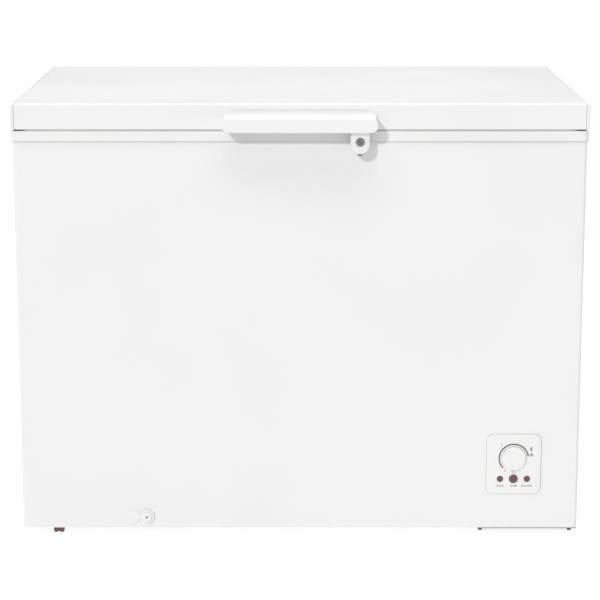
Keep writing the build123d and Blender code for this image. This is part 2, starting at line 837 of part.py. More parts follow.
def make_lid_skin():
    x = (-lid_half, lid_half)
    skin = lid_form(0, x, lid_bottom) - lid_form(sheet, (x[0] - 1, x[1] + 1), lid_bottom - 1)
    hems = [block(x, span, (lid_bottom, lid_bottom + sheet))
            for span in ((front_y, front_y + hem_width), (back_y - hem_width, back_y))]
    return skin + hems - handle_screw_solids() - arm_screw_solids()


def make_end_cap():
    """Right-hand plastic end of the lid."""
    cap = lid_form(0, (lid_half, lid_width / 2), lid_bottom - cap_drop)
    outer = cap.edges().filter_by(lambda e: (e @ 0.5).X > lid_width / 2 - 0.01)
    return fillet(outer, cap_round)


def plug_block(inset, top):
    x = (-plug_half + inset, plug_half - inset)
    y = (plug_front + inset, plug_back - inset)
    return rounded(x, y, (plug_bottom + inset, top), plug_corner - inset)


def rim_level():
    return lid_bottom + sheet, lid_bottom + sheet + panel_skin


def make_inner_panel():
    low, high = rim_level()
    rim = block((-lid_half, lid_half), (front_y + sheet, back_y - sheet), (low, high))
    return rim + plug_block(0, high) - plug_block(panel_skin, high + 1)


def make_lid_foam():
    _, high = rim_level()
    slab = lid_form(sheet, (-lid_half, lid_half), high)
    return slab + plug_block(panel_skin, high) - handle_screw_solids() - arm_screw_solids()


def make_gasket():
    """Soft magnetic seal between the inner panel's rim and the collar."""
    low, _ = rim_level()
    z = (collar_top + gasket_clearance, low)
    edge = hem_width + 1
    x, y = (-lid_half + edge, lid_half - edge), (front_y + edge, back_y - edge)
    g = gasket_width
    outer = rounded(x, y, z, 14)
    inner = rounded((x[0] + g, x[1] - g), (y[0] + g, y[1] - g), (0, height), 4)
    return outer - inner


def make_handle():
    """Hollow bar handle, open below, with a sloping top."""
    half = handle_width / 2
    outside = handle_form(half, 0)
    inside = handle_form(half, handle_wall) + handle_underside(half)
    bosses = [block((x - 7, x + 7), (front_y - 12, front_y), (handle_low + 16, lid_bottom + handle_top - 6))
              for x in boss_places()]
    solid_end = block((lock_x - lock_width / 2, half), (front_y - handle_out, front_y - lock_back + 4),
                      (handle_low, handle_low + 6))
    shell = outside - inside + [b & outside for b in bosses] + (solid_end & outside)
    return shell - handle_screw_solids()


def handle_form(half, inset):
    """Outside of the handle, or its hollow when inset: a pill-shaped bar and its swept top."""
    out, low = front_y - handle_out + inset, handle_low
    top, face = lid_bottom + handle_top - inset, low + handle_face - inset
    bar = rounded_xz(0, (low + face) / 2, 2 * (half - inset), face - low, (face - low) / 2 - 0.5,
                     out, front_y)
    if inset == 0:
        bar = fillet(bar.edges().group_by(Axis.Y)[0], handle_edge)
    lip, sweep = (low + face) / 2, top - face
    middle = (0, front_y - sweep * arc_middle, face + sweep * arc_middle)
    curve = ThreePointArc((0, front_y, top), middle, (0, front_y - sweep, face))
    sides = Polyline((0, front_y - sweep, face), (0, out + handle_edge, face),
                     (0, out + handle_edge, lip), (0, front_y, lip), (0, front_y, top))
    reach = half - handle_end_inset - inset
    sweep_top = Pos(-reach, 0, 0) * extrude(make_face([curve, sides]), 2 * reach, dir=(1, 0, 0))
    ends = rounded_xz(0, (low + top) / 2, 2 * reach, top - low, handle_face / 2 - inset / 2,
                      out, front_y)
    return bar + (sweep_top & ends)


def handle_underside(half):
    """Opens the hollow downwards, between the rounded ends."""
    span = half - handle_face / 2 - 1
    return block((-span, span), (front_y - handle_out + handle_wall, front_y),
                 (handle_low - 1, handle_low + handle_face / 2))


def boss_places():
    half = handle_width / 2 - boss_inset
    return (-half, half)


def handle_screw_solids():
    z = handle_low + 26
    return [screw((x, front_y + sheet, z), (0, -1, 0), 10) for x in boss_places()]


def make_lock_housing():
    """Round-ended tongue under the handle that holds the lock barrel."""
    y = (front_y - lock_front, front_y - lock_back)
    r = lock_width / 2
    low = handle_low - lock_drop
    round_end = rod((lock_x, y[0], low + r), (lock_x, y[1], low + r), r)
    body = round_end + block((lock_x - r, lock_x + r), y, (low + r, handle_low))
    body = fillet(body.edges().group_by(Axis.Y)[0].filter_by(lambda e: (e @ 0.5).Z < handle_low - 0.1), 1.5)
    return body - barrel_space()


def barrel_space():
    y = front_y - lock_front
    seat = rod((lock_x, y - 1, lock_axis_z), (lock_x, y + 11, lock_axis_z), barrel_radius + running)
    neck = rod((lock_x, y, lock_axis_z), (lock_x, front_y, lock_axis_z), barrel_core + running)
    return seat + neck


def make_lock_barrel():
    y = front_y - lock_front
    head = rod((lock_x, y - 1, lock_axis_z), (lock_x, y + 10.5, lock_axis_z), barrel_radius)
    head = fillet(head.edges().group_by(Axis.Y)[0], 0.8)
    tail_end = front_y - lock_back + cam_gap + cam_thickness
    core = rod((lock_x, y + 10, lock_axis_z), (lock_x, tail_end, lock_axis_z), barrel_core)
    slot = Pos(lock_x, y + 2, lock_axis_z) * Rot(0, key_slot_turn, 0) * Box(key_slot, 8, 10)
    return head + core - slot


def make_lock_cam():
    """Flat lever on the barrel's tail, hanging down when unlocked."""
    y = front_y - lock_back + cam_gap
    half = cam_width / 2
    lever = block((lock_x - half, lock_x + half), (y, y + cam_thickness),
                  (lock_axis_z - cam_reach, lock_axis_z))
    eye = rod((lock_x, y, lock_axis_z), (lock_x, y + cam_thickness, lock_axis_z), half)
    hub = rod((lock_x, y - 1, lock_axis_z), (lock_x, y + cam_thickness + 1, lock_axis_z), barrel_core)
    return lever + eye - hub


# ---------------------------------------------------------------- hinges
def make_hinge_base(x):
    """Plate on the cabinet's back with two ears that hold the pin."""
    plate = block((x - hinge_plate_width / 2, x + hinge_plate_width / 2),
                  (cab_back, cab_back + hinge_plate),
                  (collar_top - collar_height - 2 - hinge_plate_height, collar_top - collar_height - 2))
    root, top = cab_back + hinge_plate, collar_top - collar_height - 2
    profile = yz_face([(root, top), (axis_y - knuckle_radius + 0.5, axis_z), (axis_y, axis_z + 4),
                       (axis_y + knuckle_radius - 0.5, axis_z - 2), (root, top - 60)])
    ears = []
    for start in (x - ear_inner - ear_thickness, x + ear_inner):
        ear = Pos(start, 0, 0) * extrude(profile, ear_thickness, dir=(1, 0, 0))
        ears.append(ear + rod((start, axis_y, axis_z), (start + ear_thickness, axis_y, axis_z),
                              knuckle_radius))
    bore = rod((x - 60, axis_y, axis_z), (x + 60, axis_y, axis_z), pin_radius)
    return plate + ears - bore - list(make_hinge_base_screws().solids())


def make_hinge_base_screws():
    top = collar_top - collar_height - 2
    y = cab_back + hinge_plate
    return group([screw((side * hinge_x + dx, y, top - dz), (0, -1, 0))
                  for side in (-1, 1) for dx in (-10, 10) for dz in (74, 88)])


def make_hinge_pin(x):
    end = ear_inner + ear_thickness
    shank = rod((x - end, axis_y, axis_z), (x + end, axis_y, axis_z), pin_radius)
    heads = [rod((x + s * end, axis_y, axis_z), (x + s * (end + 2), axis_y, axis_z), pin_radius + 2)
             for s in (-1, 1)]
    return shank + heads


def make_hinge_arm(x):
    """Plate on the lid's back with one knuckle on the pin."""
    plate = block((x - arm_width / 2, x + arm_width / 2), (back_y, back_y + arm_plate),
                  (lid_bottom + 1, lid_bottom + 1 + arm_height))
    start, end = x - ear_inner + knuckle_side_gap, x - 1
    web = block((start, end), (back_y + arm_plate - 1, axis_y), (axis_z - 2.5, axis_z + 6))
    knuckle = rod((start, axis_y, axis_z), (end, axis_y, axis_z), knuckle_radius)
    bore = rod((start - 1, axis_y, axis_z), (end + 1, axis_y, axis_z), pin_radius + running)
    return plate + web + knuckle - bore - arm_screw_solids()


def arm_screw_solids():
    z = lid_bottom + arm_height - 8
    return [screw((side * hinge_x + dx, back_y + arm_plate, z), (0, -1, 0))
            for side in (-1, 1) for dx in (-15, 15)]


def make_hinge_spring(x):
    """Coil round the pin beside the knuckle, with one leg down to the base plate."""
    turns = [Pos(x + 2 + spring_wire + i * 1.6 * spring_wire, axis_y, axis_z) * Rot(0, 90, 0)
             * Torus(spring_radius, spring_wire) for i in range(spring_turns)]
    leg_x = x + 2 + spring_wire
    leg = rod((leg_x, axis_y - spring_radius, axis_z),
              (leg_x, cab_back + hinge_plate + spring_wire, axis_z - 45), spring_wire)
    return turns[0] + turns[1:] + leg


# ---------------------------------------------------------------- basket
def basket_span():
    x0 = -mouth_half + basket_side_gap
    y = (mouth_front + ledge_width + 2, mouth_back - ledge_width - 2)
    top = ledge_top - hanger_drop
    return (x0, x0 + basket_length), y, (top - basket_height, top)


def evenly(low, high, pitch):
    count = max(2, round((high - low) / pitch))
    return [low + (high - low) * i / count for i in range(count + 1)]


def make_long_side(front):
    """Front or back grid of the basket, with its top rail and the hanger on the ledge."""
    x, y, z = basket_span()
    sign = 1 if front else -1
    face = y[0] if front else y[1]
    upright = face + sign * wire
    level = face + sign * (3 * wire - wire_bite)
    rods = [rod((px, upright, z[0]), (px, upright, z[1]), wire)
            for px in evenly(x[0] + wire + 3, x[1] - wire - 3, mesh_pitch)]
    rods += [rod((x[0], level, pz), (x[1], level, pz), wire)
             for pz in evenly(z[0] + wire + 1, z[1], 2 * mesh_pitch)[:-1]]
    rail = rod((x[0], upright, z[1]), (x[1], upright, z[1]), rail_wire)
    hang_y = face - sign * (2 + ledge_width / 2 + 0.5)
    hang_z = ledge_top + rail_wire + 0.3
    hanger = [rod((x[0] + 30, hang_y, hang_z), (x[1] - 30, hang_y, hang_z), rail_wire)]
    for px in (x[0] + 30, x[1] - 30):
        hanger.append(rod((px, hang_y, hang_z), (px, upright, hang_z), rail_wire))
        hanger.append(rod((px, upright, hang_z), (px, upright, z[1]), rail_wire))
        hanger.append(Pos(px, hang_y, hang_z) * Sphere(rail_wire))
        hanger.append(Pos(px, upright, hang_z) * Sphere(rail_wire))
    return rail + rods + hanger


def make_short_side(left):
    """Left or right grid of the basket, between the long sides."""
    x, y, z = basket_span()
    sign = 1 if left else -1
    face = x[0] if left else x[1]
    upright = face + sign * wire
    level = face + sign * (3 * wire - wire_bite)
    y = (y[0] + 5 * wire, y[1] - 5 * wire)
    rods = [rod((upright, py, z[0]), (upright, py, z[1]), wire)
            for py in evenly(y[0] + wire + 2, y[1] - wire - 2, mesh_pitch)]
    rods += [rod((level, y[0], pz), (level, y[1], pz), wire)
             for pz in evenly(z[0] + wire + 1, z[1], 2 * mesh_pitch)[:-1]]
    rail = rod((upright, y[0], z[1]), (upright, y[1], z[1]), rail_wire)
    return rail + rods


def make_basket_floor():
    x, y, z = basket_span()
    low = z[0] - wire
    x, y = (x[0] + 4 * wire, x[1] - 4 * wire), (y[0], y[1])
    rods = [rod((px, y[0], low), (px, y[1], low), wire) for px in evenly(x[0], x[1], mesh_pitch)]
    cross = [rod((x[0], py, low - 2 * wire + wire_bite), (x[1], py, low - 2 * wire + wire_bite), wire)
             for py in evenly(y[0] + 20, y[1] - 20, 3 * mesh_pitch)]
    return rods[0] + rods[1:] + cross


# ---------------------------------------------------------------- all pieces
def build_all():
    evaporator, condenser = coil_numbers()
    right_cap = make_end_cap()
    return {
        "insulation_foam": make_foam(),
        "inner_liner": make_liner(),
        "evaporator_coil": make_coil(evaporator),
        "condenser_coil": make_coil(condenser),
        "front_panel": make_front_panel(),
        "side_panel_left": make_side_panel(False),
        "side_panel_right": make_side_panel(True),
        "rear_panel": make_rear_panel(),
        "bottom_panel": make_bottom_panel(),
        "top_collar": make_collar(),
        "lock_keeper": make_keeper(),
        "compressor_tray": make_tray(),
        "tray_studs": make_tray_studs(),
        "compressor_bracket": make_bracket(),
        "compressor_grommets": make_grommets(),
        "compressor_bolts": make_compressor_bolts(),
        "compressor_shell_lower": make_shell_lower(),
        "compressor_shell_upper": make_shell_upper(),
        "relay_cover": make_relay_cover(),
        "suction_pipe": make_suction_pipe(),
        "discharge_pipe": make_discharge_pipe(),
        "filter_drier": make_drier(),
        "capillary_tube": make_capillary(),
        "side_grille": make_grille(),
        "rear_cover": make_rear_cover(),
        "rear_cover_screws": make_cover_screws(),
        "cord_gland": make_gland(),
        "feet": make_feet(),
        "control_panel": make_control_panel(),
        "indicator_lenses": make_lenses(),
        "indicator_board": make_lamp_board(),
        "thermostat_body": make_thermostat(),
        "sensing_tube": make_sensing_tube(),
        "thermostat_shaft": make_shaft(),
        "thermostat_knob": make_knob(),
        "drain_tube": make_drain_tube(),
        "drain_rosette": make_rosette(),
        "drain_spout": make_spout(),
        "drain_plug": make_drain_plug(),
        "lid_outer_skin": make_lid_skin(),
        "lid_end_cap_right": right_cap,
        "lid_end_cap_left": mirrored_x(right_cap),
        "lid_inner_panel": make_inner_panel(),
        "lid_foam": make_lid_foam(),
        "lid_gasket": make_gasket(),
        "handle_bar": make_handle(),
        "handle_screws": group(handle_screw_solids()),
        "lock_housing": make_lock_housing(),
        "lock_barrel": make_lock_barrel(),
        "lock_cam": make_lock_cam(),
        "hinge_bases": group([make_hinge_base(s * hinge_x) for s in (-1, 1)]),
        "hinge_pins": group([make_hinge_pin(s * hinge_x) for s in (-1, 1)]),
        "hinge_arms": group([make_hinge_arm(s * hinge_x) for s in (-1, 1)]),
        "hinge_springs": group([make_hinge_spring(s * hinge_x) for s in (-1, 1)]),
        "hinge_screws": make_hinge_base_screws(),
        "hinge_arm_screws": group(arm_screw_solids()),
        "basket_grids_long": group([make_long_side(True), make_long_side(False)]),
        "basket_grids_short": group([make_short_side(True), make_short_side(False)]),
        "basket_floor": make_basket_floor(),
    }


os.makedirs("parts", exist_ok=True)
for node, shape in build_all().items():
    export_step(shape, f"parts/{node}.step")
    box = shape.bounding_box()
    print(f"{node:26s} solids {len(shape.solids()):3d}  volume {shape.volume / 1000:10.1f} cm3  "
          f"z {box.min.Z:7.1f} to {box.max.Z:7.1f}")
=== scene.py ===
# %% [markdown]
# # A chest freezer, finished in Blender
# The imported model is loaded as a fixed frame: every sheet, hinge and screw is already in its place.
# This lesson adds what the eye needs: enamel, embossed aluminium, printed marks, a soft seal,
# the studio and the camera. All lengths are in metres; +X is right, -Y is the front, +Z is up.

# %% Load the frame
from math import cos, pi, radians, sin

import bmesh
import bpy
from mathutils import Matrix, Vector


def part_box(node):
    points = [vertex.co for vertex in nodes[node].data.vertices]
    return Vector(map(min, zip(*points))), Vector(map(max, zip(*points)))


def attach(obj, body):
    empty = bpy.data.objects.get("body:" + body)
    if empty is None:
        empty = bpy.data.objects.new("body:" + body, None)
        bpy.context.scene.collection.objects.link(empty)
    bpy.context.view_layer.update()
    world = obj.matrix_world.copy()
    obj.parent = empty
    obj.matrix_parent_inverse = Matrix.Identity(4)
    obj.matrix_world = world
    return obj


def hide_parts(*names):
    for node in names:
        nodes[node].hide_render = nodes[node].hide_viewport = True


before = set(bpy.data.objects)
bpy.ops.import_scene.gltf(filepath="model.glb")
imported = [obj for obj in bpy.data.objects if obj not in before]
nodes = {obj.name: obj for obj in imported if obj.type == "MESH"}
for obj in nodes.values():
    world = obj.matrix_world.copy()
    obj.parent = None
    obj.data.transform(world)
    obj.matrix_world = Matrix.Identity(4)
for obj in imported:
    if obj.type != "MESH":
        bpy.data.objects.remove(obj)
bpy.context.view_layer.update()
MM = 0.001
bpy.ops.object.select_all(action="DESELECT")
print("nodes in the frame:", len(nodes))

# %% [markdown]
# ## Helpers
# A new primitive comes in selected all over, so each step clears the selection first and then picks
# faces or edges by their place. These few helpers keep the later cells short.

# %% Small modelling helpers


def start_edit(piece):
    """Edit mode with nothing selected."""
    bpy.ops.object.select_all(action="DESELECT")
    bpy.context.view_layer.objects.active = piece
    piece.select_set(True)
    bpy.ops.object.mode_set(mode="EDIT")
    bpy.ops.mesh.select_all(action="DESELECT")


def end_edit():
    bpy.ops.object.mode_set(mode="OBJECT")


def select_faces(piece, wanted):
    """Selects the faces whose centre and normal pass the test."""
    mesh = bmesh.from_edit_mesh(piece.data)
    bpy.context.tool_settings.mesh_select_mode = (False, False, True)
    for face in mesh.faces:
        face.select_set(bool(wanted(face.calc_center_median(), face.normal)))
    mesh.select_flush_mode()
    bmesh.update_edit_mesh(piece.data)


def select_edges(piece, wanted):
    """Selects the edges whose two ends pass the test."""
    mesh = bmesh.from_edit_mesh(piece.data)
    bpy.context.tool_settings.mesh_select_mode = (False, True, False)
    for edge in mesh.edges:
        edge.select_set(bool(wanted(edge.verts[0].co, edge.verts[1].co)))
    mesh.select_flush_mode()
    bmesh.update_edit_mesh(piece.data)


def close_up(reach):
    """Welds a spun piece where it meets itself, turns its faces outward and leaves edit mode."""
    bpy.ops.mesh.select_all(action="SELECT")
    bpy.ops.mesh.remove_doubles(threshold=reach)
    bpy.ops.mesh.normals_make_consistent(inside=False)
    end_edit()


def settle(piece, name, smooth=None):
    """Names a piece, puts its place into its mesh and smooths it."""
    bpy.ops.object.select_all(action="DESELECT")
    bpy.context.view_layer.objects.active = piece
    piece.select_set(True)
    bpy.ops.object.transform_apply(location=True, rotation=True, scale=True)
    if smooth is not None:
        bpy.ops.object.shade_smooth_by_angle(angle=radians(smooth))
    piece.name = name
    piece.data.name = name
    return piece


def dress(piece, finish, body):
    """Gives a new piece its finish, its body and the material slot it belongs to."""
    piece.data.materials.clear()
    piece.data.materials.append(finish)
    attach(piece, body)
    return piece


def middle(node):
    low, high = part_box(node)
    return (low + high) / 2


# %% [markdown]
# ## The studio
# White goods are shot on a pale sweep under one large overhead light, with a harder key from the
# upper left that draws the handle's shadow. The floor glows a little so that it stays white where
# the freezer shades it.

# %% Floor, lights and sky
bpy.ops.mesh.primitive_plane_add(size=80.0, location=(0, 0, -0.0005))
floor = bpy.context.active_object
floor.name = "floor"
floor_paint = bpy.data.materials.new("floor_paint")
floor_paint.use_nodes = True
floor_shader = floor_paint.node_tree.nodes["Principled BSDF"]
floor_shader.inputs["Base Color"].default_value = (0.25, 0.25, 0.25, 1)
floor_shader.inputs["Roughness"].default_value = 0.9
floor_shader.inputs["Emission Color"].default_value = (1, 1, 1, 1)
floor_shader.inputs["Emission Strength"].default_value = 0.86
floor.data.materials.append(floor_paint)

sky = bpy.data.worlds.new("studio_sky")
sky.use_nodes = True
sky.node_tree.nodes["Background"].inputs["Color"].default_value = (1, 1, 1, 1)
sky.node_tree.nodes["Background"].inputs["Strength"].default_value = 0.32
bpy.context.scene.world = sky

key_direction = Vector((0.44, 0.83, -0.52))
bpy.ops.object.light_add(type="SUN", location=(-2, -4, 3))
key = bpy.context.active_object
key.name = "key_light"
key.data.energy = 1.4
key.data.angle = radians(2.5)
key.rotation_euler = key_direction.to_track_quat("-Z", "Y").to_euler()

bpy.ops.object.light_add(type="AREA", location=(0, -0.2, 3.2))
top_light = bpy.context.active_object
top_light.name = "overhead_light"
top_light.data.shape = "RECTANGLE"
top_light.data.size = 4.0
top_light.data.size_y = 3.0
top_light.data.energy = 95.0

bpy.context.scene.view_settings.view_transform = "Standard"

# %% [markdown]
# ## The camera
# A long lens almost four metres in front, a little above the lid and tilted down by twelve degrees:
# 125 mm on a sensor 36 mm wide.

# %% Camera
front_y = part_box("lid_end_cap_left")[0].y
camera_back = 3.94
camera_height = 1.3224
camera_tilt = 12.08
lens_length = 124.86
bpy.ops.object.camera_add(location=(0, front_y - camera_back, camera_height),
                          rotation=(radians(90 - camera_tilt), 0, 0))
camera = bpy.context.active_object
camera.name = "camera"
camera.data.sensor_width = 36.0
camera.data.lens = lens_length
bpy.context.scene.camera = camera

# %% [markdown]
# ## Finishes
# Every finish is grown from noise in object coordinates: a large soft mottle tints the colour and
# moves the roughness, and a fine grain feeds a bump. Numbers that are the same all over a surface
# are set on the shader itself.

# %% Finish helpers


def new_finish(name, **sockets):
    """A material with its constant shader values set on the shader's own sockets."""
    finish = bpy.data.materials.new(name)
    finish.use_nodes = True
    shader = finish.node_tree.nodes["Principled BSDF"]
    for socket, value in sockets.items():
        shader.inputs[socket.replace("_", " ")].default_value = value
    return finish


def texture(finish, kind, scale, **values):
    """A noise, voronoi or wave texture that reads object coordinates."""
    tree = finish.node_tree
    place = tree.nodes.get("Texture Coordinate") or tree.nodes.new("ShaderNodeTexCoord")
    pattern = tree.nodes.new(f"ShaderNodeTex{kind}")
    pattern.inputs["Scale"].default_value = scale
    for socket, value in values.items():
        pattern.inputs[socket].default_value = value
    tree.links.new(place.outputs["Object"], pattern.inputs["Vector"])
    return pattern


def tint(finish, driver, dark, light, low=0.35, high=0.65):
    """Colour that runs from dark to light as the pattern rises."""
    tree = finish.node_tree
    ramp = tree.nodes.new("ShaderNodeValToRGB")
    ramp.color_ramp.elements[0].position = low
    ramp.color_ramp.elements[1].position = high
    ramp.color_ramp.elements[0].color = (*dark, 1)
    ramp.color_ramp.elements[1].color = (*light, 1)
    tree.links.new(driver, ramp.inputs["Fac"])
    tree.links.new(ramp.outputs["Color"], tree.nodes["Principled BSDF"].inputs["Base Color"])


def vary_roughness(finish, driver, low, high):
    tree = finish.node_tree
    span = tree.nodes.new("ShaderNodeMapRange")
    span.inputs["To Min"].default_value = low
    span.inputs["To Max"].default_value = high
    tree.links.new(driver, span.inputs["Value"])
    tree.links.new(span.outputs["Result"], tree.nodes["Principled BSDF"].inputs["Roughness"])


def grain(finish, driver, strength, distance):
    """Bump from a pattern; distance is the depth in metres."""
    tree = finish.node_tree
    bump = tree.nodes.new("ShaderNodeBump")
    bump.inputs["Strength"].default_value = strength
    bump.inputs["Distance"].default_value = distance
    shader = tree.nodes["Principled BSDF"]
    if shader.inputs["Normal"].is_linked:
        tree.links.new(shader.inputs["Normal"].links[0].from_socket, bump.inputs["Normal"])
    tree.links.new(driver, bump.inputs["Height"])
    tree.links.new(bump.outputs["Normal"], shader.inputs["Normal"])


def painted(name, dark, light, rough, peel=420.0, depth=0.00008, **sockets):
    """Sprayed or moulded surface: soft mottle, orange-peel grain."""
    finish = new_finish(name, **sockets)
    mottle = texture(finish, "Noise", 3.5, Detail=3.0)
    tint(finish, mottle.outputs["Fac"], dark, light)
    vary_roughness(finish, mottle.outputs["Fac"], *rough)
    peel_noise = texture(finish, "Noise", peel, Detail=2.0)
    grain(finish, peel_noise.outputs["Fac"], 0.35, depth)
    return finish


def bare_metal(name, dark, light, rough, scratch=260.0, depth=0.00003, **sockets):
    """Metal with cloudy tarnish and fine drawn scratches."""
    finish = new_finish(name, Metallic=1.0, **sockets)
    cloud = texture(finish, "Noise", 45.0, Detail=4.0)
    tint(finish, cloud.outputs["Fac"], dark, light)
    vary_roughness(finish, cloud.outputs["Fac"], *rough)
    lines = texture(finish, "Noise", scratch, Detail=2.0, Distortion=1.5)
    grain(finish, lines.outputs["Fac"], 0.4, depth)
    return finish


# %% [markdown]
# The cabinet and lid are sprayed steel; the collar, caps, handle and control plate are moulded
# plastic, a touch softer in gloss. Both whites are kept just under pure white so that edges read.

# %% Whites
enamel = painted("white_enamel", (0.752, 0.752, 0.750), (0.772, 0.772, 0.769), (0.30, 0.40),
                 peel=520.0, depth=0.00006, Coat_Weight=0.15, Coat_Roughness=0.2)
white_plastic = painted("white_plastic", (0.752, 0.752, 0.748), (0.772, 0.772, 0.768),
                        (0.36, 0.46), peel=1100.0, depth=0.00004)
collar_plastic = painted("collar_plastic", (0.742, 0.742, 0.739), (0.762, 0.762, 0.757),
                         (0.38, 0.48), peel=1100.0, depth=0.00004)
handle_plastic = painted("handle_plastic", (0.760, 0.760, 0.756), (0.780, 0.780, 0.776),
                         (0.66, 0.76), peel=1100.0, depth=0.00004, Specular_IOR_Level=0.25)
wire_coat = painted("wire_coat", (0.76, 0.76, 0.76), (0.80, 0.80, 0.80), (0.28, 0.4),
                    peel=700.0, depth=0.00008, Coat_Weight=0.3)
seal_rubber = painted("seal_rubber", (0.66, 0.66, 0.65), (0.72, 0.72, 0.71), (0.55, 0.7),
                      peel=900.0, depth=0.00006)
hose_plastic = painted("hose_plastic", (0.62, 0.62, 0.60), (0.70, 0.70, 0.68), (0.4, 0.55))

# %% [markdown]
# The handle is moulded in a flatter plastic than the caps. Its sloping top is painted greyer than its
# face as painted shade, which holds back its glare under the overhead light. The change follows
# height.

# %% Painted shade on the handle's top
# Heights over which the handle's top fades to the greyer painted shade tone.
shade_fade_from, shade_fade_to = 836.0 * MM, 838.0 * MM
painted_shade_tone = (0.66, 0.66, 0.657, 1)


def paint_handle_shade(finish):
    """Fades a finish's colour to a greyer painted shade tone between two heights."""
    tree = finish.node_tree
    shader = tree.nodes["Principled BSDF"]
    apart = tree.nodes.new("ShaderNodeSeparateXYZ")
    tree.links.new(tree.nodes["Texture Coordinate"].outputs["Object"], apart.inputs["Vector"])
    fade = tree.nodes.new("ShaderNodeMapRange")
    fade.inputs["From Min"].default_value = shade_fade_from
    fade.inputs["From Max"].default_value = shade_fade_to
    tree.links.new(apart.outputs["Z"], fade.inputs["Value"])
    mix = tree.nodes.new("ShaderNodeMix")
    mix.data_type = "RGBA"
    colour = shader.inputs["Base Color"].links[0].from_socket
    tree.links.new(fade.outputs["Result"], mix.inputs["Factor"])
    tree.links.new(colour, mix.inputs[6])
    mix.inputs[7].default_value = painted_shade_tone
    tree.links.new(mix.outputs[2], shader.inputs["Base Color"])


paint_handle_shade(handle_plastic)

# %% Darks
black_enamel = painted("black_enamel", (0.012, 0.012, 0.013), (0.03, 0.03, 0.032), (0.28, 0.5),
                       peel=300.0, depth=0.00012)
black_plastic = painted("black_plastic", (0.018, 0.018, 0.018), (0.034, 0.033, 0.032), (0.5, 0.65),
                        peel=1500.0, depth=0.00008)
foot_plastic = painted("foot_plastic", (0.150, 0.078, 0.076), (0.185, 0.098, 0.095), (0.55, 0.7),
                       peel=1300.0, depth=0.00008)
black_rubber = painted("black_rubber", (0.018, 0.018, 0.018), (0.045, 0.044, 0.042), (0.7, 0.85),
                       peel=800.0, depth=0.0001)
lens_plastic = painted("lens_plastic", (0.085, 0.034, 0.033), (0.105, 0.044, 0.042), (0.2, 0.3),
                       peel=90.0, depth=0.00002, Coat_Weight=0.5, Coat_Roughness=0.1)
print_ink = painted("print_ink", (0.100, 0.064, 0.063), (0.130, 0.080, 0.078), (0.45, 0.55),
                    peel=2000.0)
grey_ink = painted("grey_ink", (0.26, 0.24, 0.24), (0.32, 0.30, 0.30), (0.45, 0.55), peel=2000.0)
# Grey painted shade for the fine shadow lines round the control plate and knob and under the collar.
gap_shade_grey = painted("gap_shade_grey", (0.46, 0.45, 0.45), (0.52, 0.51, 0.51), (0.5, 0.6), peel=900.0)
board_green = painted("board_green", (0.02, 0.11, 0.05), (0.03, 0.16, 0.07), (0.3, 0.45))

# %% [markdown]
# The liner is aluminium sheet rolled with a stucco pattern, so that scratches don't show; a voronoi
# pattern gives the pebbles. Galvanised sheet has flat zinc crystals, each with its own grey.

# %% Metals
stucco = new_finish("stucco_aluminium", Metallic=0.85)
pebbles = texture(stucco, "Voronoi", 150.0, Randomness=0.9)
clouds = texture(stucco, "Noise", 5.0, Detail=3.0)
tint(stucco, clouds.outputs["Fac"], (0.74, 0.75, 0.76), (0.82, 0.83, 0.84))
vary_roughness(stucco, clouds.outputs["Fac"], 0.32, 0.42)
grain(stucco, pebbles.outputs["Distance"], 0.55, 0.0006)

galvanised = new_finish("galvanised_sheet", Metallic=0.9)
crystals = texture(galvanised, "Voronoi", 55.0, Randomness=1.0)
tint(galvanised, crystals.outputs["Color"], (0.48, 0.50, 0.52), (0.66, 0.68, 0.70), 0.1, 0.9)
vary_roughness(galvanised, crystals.outputs["Color"], 0.3, 0.5)
zinc_grain = texture(galvanised, "Noise", 600.0, Detail=2.0)
grain(galvanised, zinc_grain.outputs["Fac"], 0.2, 0.00005)

zinc_plate = bare_metal("zinc_plate", (0.55, 0.56, 0.57), (0.70, 0.70, 0.69), (0.22, 0.38))
tray_steel = bare_metal("tray_steel", (0.24, 0.24, 0.245), (0.32, 0.32, 0.325), (0.4, 0.55))
lock_metal = bare_metal("lock_metal", (0.20, 0.195, 0.19), (0.28, 0.275, 0.27), (0.3, 0.42))
copper = bare_metal("copper_tube", (0.55, 0.24, 0.13), (0.80, 0.42, 0.27), (0.2, 0.42), scratch=120.0)
dark_steel = bare_metal("dark_steel_tube", (0.10, 0.10, 0.10), (0.17, 0.165, 0.16), (0.35, 0.5))

# %% [markdown]
# Rigid foam never shows on the finished freezer, but it is there behind the sheets: tiny closed
# cells on a cream body.

# %% Foam
foam_finish = new_finish("rigid_foam")
cells = texture(foam_finish, "Voronoi", 700.0, Randomness=1.0)
foam_cloud = texture(foam_finish, "Noise", 9.0, Detail=4.0)
tint(foam_finish, foam_cloud.outputs["Fac"], (0.70, 0.58, 0.34), (0.82, 0.71, 0.46))
vary_roughness(foam_finish, foam_cloud.outputs["Fac"], 0.75, 0.95)
grain(foam_finish, cells.outputs["Distance"], 0.5, 0.0003)

# %% [markdown]
# ## Dressing the frame
# Each node of the frame gets one finish, listed by what the real piece is made of.

